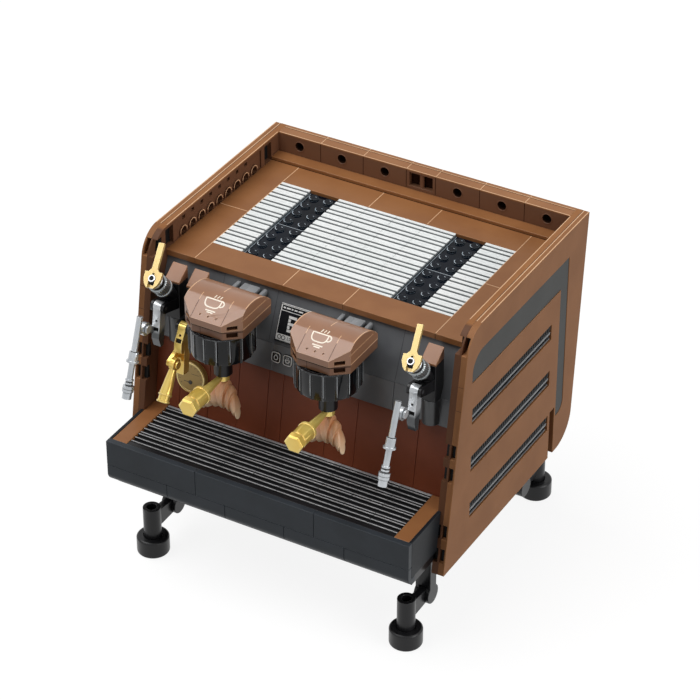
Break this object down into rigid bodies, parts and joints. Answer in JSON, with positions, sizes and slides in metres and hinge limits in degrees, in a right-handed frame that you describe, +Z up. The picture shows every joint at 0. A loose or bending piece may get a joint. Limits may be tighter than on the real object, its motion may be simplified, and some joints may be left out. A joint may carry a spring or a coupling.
{
  "type": "building block coffee machine",
  "caption": "Building block model of a two-group espresso machine with railed cup deck, drip tray, steam wands, levers and portafilters on splayed legs.",
  "frame": {"origin": "on the floor, under the middle of the model's bounding box", "axes": "+Z up, +X to the right seen from the front, the drip tray and group heads face -Y"},
  "size_m": [0.1728, 0.175, 0.1667],
  "materials": {
    "brown_tile": "smooth moulded",
    "dark_brown_tile": "smooth moulded",
    "white_tile": "smooth moulded",
    "smoked_blue": "smooth moulded, smoked",
    "panel_grey": "smooth moulded",
    "tray_black": "smooth moulded",
    "black": "moulded",
    "smoked_clear": "smoked clear plastic with ribs",
    "display_print": "printed tile",
    "icon_print": "printed tile",
    "gold": "metallic gold coating",
    "copper": "pearl copper moulded",
    "silver": "metallic silver coating",
    "dark_grey": "smooth moulded"
  },
  "bodies": {
    "machine": {"deck_border_tiles": "brown_tile", "rear_ledge": "brown_tile", "rail_hole_bricks": "brown_tile", "rail_centre_brick": "brown_tile", "inner_wall_left": "brown_tile", "inner_wall_right": "brown_tile", "side_panel_left": "brown_tile", "side_panel_right": "brown_tile", "head_covers": "brown_tile", "head_rings": "brown_tile", "slope_tiles": "brown_tile", "tray_side_tiles": "brown_tile", "backsplash_planks": "dark_brown_tile", "cup_grille_tiles": "white_tile", "smoked_strips": "smoked_blue", "upper_panel": "panel_grey", "lower_panel_tiles": "panel_grey", "side_stripe_left": "panel_grey", "side_stripe_right": "panel_grey", "tray_body": "tray_black", "tray_end_caps": "tray_black", "tray_front_tiles": "tray_black", "tray_curved_tiles": "tray_black", "drip_grille_tiles": "tray_black", "base_plate": "black", "inner_columns": "black", "front_bulkhead": "black", "rear_shell": "black", "deck_plate": "black", "side_louvres": "black", "group_cores": "black", "valve_bodies": "black", "post_bricks": "black", "foot_pads": "black", "foot_stems": "black", "foot_arms": "black", "foot_brackets": "black", "glass_bowls": "smoked_clear", "display_tile": "display_print", "button_tiles": "icon_print", "gauge": "gold", "post_feet": "dark_grey", "head_brackets": "dark_grey", "arm_cross_pins": "dark_grey"},
    "lever_left": {"lever_left": "gold", "knob_left": "dark_grey"},
    "lever_right": {"lever_right": "gold", "knob_right": "dark_grey"},
    "steam_arm_left": {"steam_arm_left": "silver"},
    "steam_arm_right": {"steam_arm_right": "silver"},
    "steam_wand_left": {"steam_wand_left": "silver"},
    "steam_wand_right": {"steam_wand_right": "silver"},
    "water_arm": {"water_arm": "gold"},
    "water_nozzle": {"water_nozzle": "gold"},
    "portafilter_left": {"portafilter_left": "gold", "grip_left": "gold", "spout_left": "copper"},
    "portafilter_right": {"portafilter_right": "gold", "grip_right": "gold", "spout_right": "copper"}
  },
  "joints": [
    {"name": "lever_turn_left", "type": "hinge", "parent": "machine", "child": "lever_left", "pos_m": [-0.068, -0.054, 0.1553], "axis": [0, -0.6691, 0.7431], "range_deg": [-60, 60]},
    {"name": "steam_arm_swing_left", "type": "hinge", "parent": "machine", "child": "steam_arm_left", "pos_m": [-0.068, -0.0485, 0.1367], "axis": [1, 0, 0], "range_deg": [-25, 15]},
    {"name": "steam_wand_swing_left", "type": "hinge", "parent": "steam_arm_left", "child": "steam_wand_left", "pos_m": [-0.068, -0.0616, 0.1319], "axis": [1, 0, 0], "range_deg": [-10, 25]},
    {"name": "portafilter_turn_left", "type": "hinge", "parent": "machine", "child": "portafilter_left", "pos_m": [-0.029, -0.0561, 0.1154], "axis": [0, 0, 1], "range_deg": [-40, 40]},
    {"name": "lever_turn_right", "type": "hinge", "parent": "machine", "child": "lever_right", "pos_m": [0.068, -0.054, 0.1553], "axis": [0, -0.6691, 0.7431], "range_deg": [-60, 60]},
    {"name": "steam_arm_swing_right", "type": "hinge", "parent": "machine", "child": "steam_arm_right", "pos_m": [0.068, -0.0485, 0.1367], "axis": [1, 0, 0], "range_deg": [-25, 15]},
    {"name": "steam_wand_swing_right", "type": "hinge", "parent": "steam_arm_right", "child": "steam_wand_right", "pos_m": [0.068, -0.0616, 0.1319], "axis": [1, 0, 0], "range_deg": [-10, 25]},
    {"name": "portafilter_turn_right", "type": "hinge", "parent": "machine", "child": "portafilter_right", "pos_m": [0.027, -0.0561, 0.1154], "axis": [0, 0, 1], "range_deg": [-40, 40]},
    {"name": "water_arm_swing", "type": "hinge", "parent": "machine", "child": "water_arm", "pos_m": [-0.056, -0.0463, 0.1277], "axis": [1, 0, 0], "range_deg": [-30, 15]},
    {"name": "water_nozzle_swing", "type": "hinge", "parent": "water_arm", "child": "water_nozzle", "pos_m": [-0.056, -0.0559, 0.1127], "axis": [1, 0, 0], "range_deg": [-25, 30]}
  ]
}
